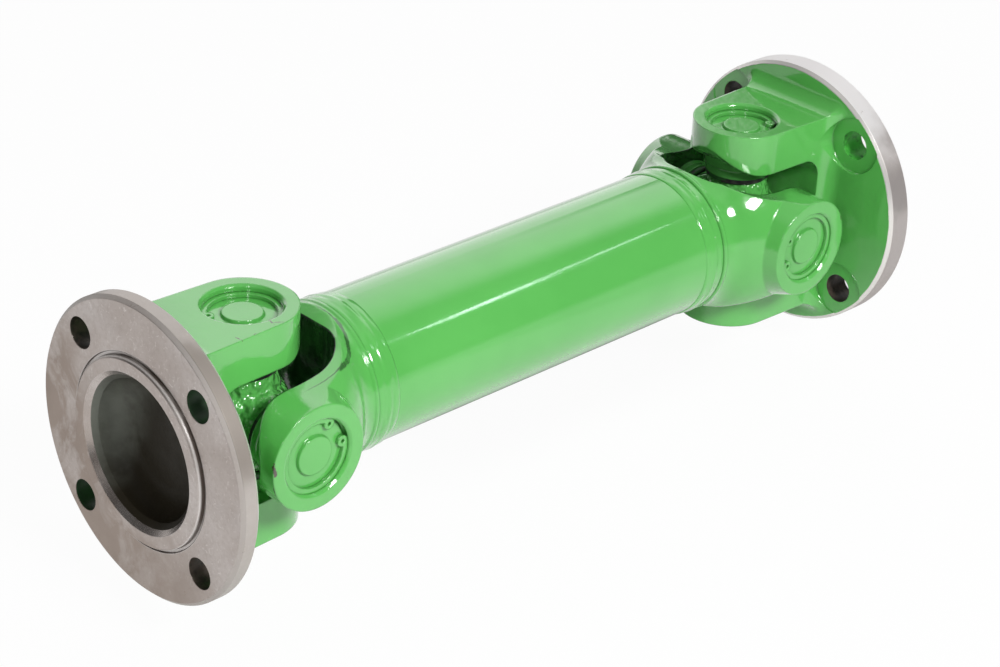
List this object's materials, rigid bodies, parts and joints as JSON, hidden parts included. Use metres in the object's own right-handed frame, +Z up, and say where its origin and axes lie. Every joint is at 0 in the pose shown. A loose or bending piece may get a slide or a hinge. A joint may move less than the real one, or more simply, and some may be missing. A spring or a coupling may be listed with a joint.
{
  "type": "drive shaft",
  "caption": "Short tubular drive shaft with a flanged universal joint at each end, green enamel with bare machined steel bolting flanges.",
  "frame": {"origin": "middle of the shaft on its axis, halfway between the two flange faces", "axes": "+X along the shaft from the near flange to the far one, +Z up with the flange forks' ears up and down as pictured, +Y away from the viewer's side"},
  "size_m": [0.374, 0.12, 0.12],
  "materials": {
    "green_paint": "glossy mid-green enamel; flange faces, pilots and rims bare machined steel",
    "bearing_steel": "ground steel",
    "seal_rubber": "black moulded rubber"
  },
  "bodies": {
    "shaft": {"tube": "green_paint", "near_tube_yoke": "green_paint", "near_weld_bead": "green_paint", "far_tube_yoke": "green_paint", "far_weld_bead": "green_paint", "near_cup_front": "green_paint", "near_needles_front": "bearing_steel", "near_seal_front": "seal_rubber", "near_ring_front": "green_paint", "near_cup_back": "green_paint", "near_needles_back": "bearing_steel", "near_seal_back": "seal_rubber", "near_ring_back": "green_paint", "far_cup_front": "green_paint", "far_needles_front": "bearing_steel", "far_seal_front": "seal_rubber", "far_ring_front": "green_paint", "far_cup_back": "green_paint", "far_needles_back": "bearing_steel", "far_seal_back": "seal_rubber", "far_ring_back": "green_paint"},
    "near_spider": {"near_cross": "green_paint"},
    "near_flange": {"near_flange_yoke": "green_paint", "near_cup_top": "green_paint", "near_needles_top": "bearing_steel", "near_seal_top": "seal_rubber", "near_ring_top": "green_paint", "near_cup_bottom": "green_paint", "near_needles_bottom": "bearing_steel", "near_seal_bottom": "seal_rubber", "near_ring_bottom": "green_paint"},
    "far_spider": {"far_cross": "green_paint"},
    "far_flange": {"far_flange_yoke": "green_paint", "far_cup_top": "green_paint", "far_needles_top": "bearing_steel", "far_seal_top": "seal_rubber", "far_ring_top": "green_paint", "far_cup_bottom": "green_paint", "far_needles_bottom": "bearing_steel", "far_seal_bottom": "seal_rubber", "far_ring_bottom": "green_paint"}
  },
  "joints": [
    {"name": "near_pitch", "type": "hinge", "parent": "shaft", "child": "near_spider", "pos_m": [-0.1372, 0, 0], "axis": [0, 1, 0], "range_deg": [-17, 17]},
    {"name": "near_yaw", "type": "hinge", "parent": "near_spider", "child": "near_flange", "pos_m": [-0.1372, 0, 0], "axis": [0, 0, 1], "range_deg": [-17, 17]},
    {"name": "far_pitch", "type": "hinge", "parent": "shaft", "child": "far_spider", "pos_m": [0.1372, 0, 0], "axis": [0, 1, 0], "range_deg": [-17, 17]},
    {"name": "far_yaw", "type": "hinge", "parent": "far_spider", "child": "far_flange", "pos_m": [0.1372, 0, 0], "axis": [0, 0, 1], "range_deg": [-17, 17]}
  ]
}
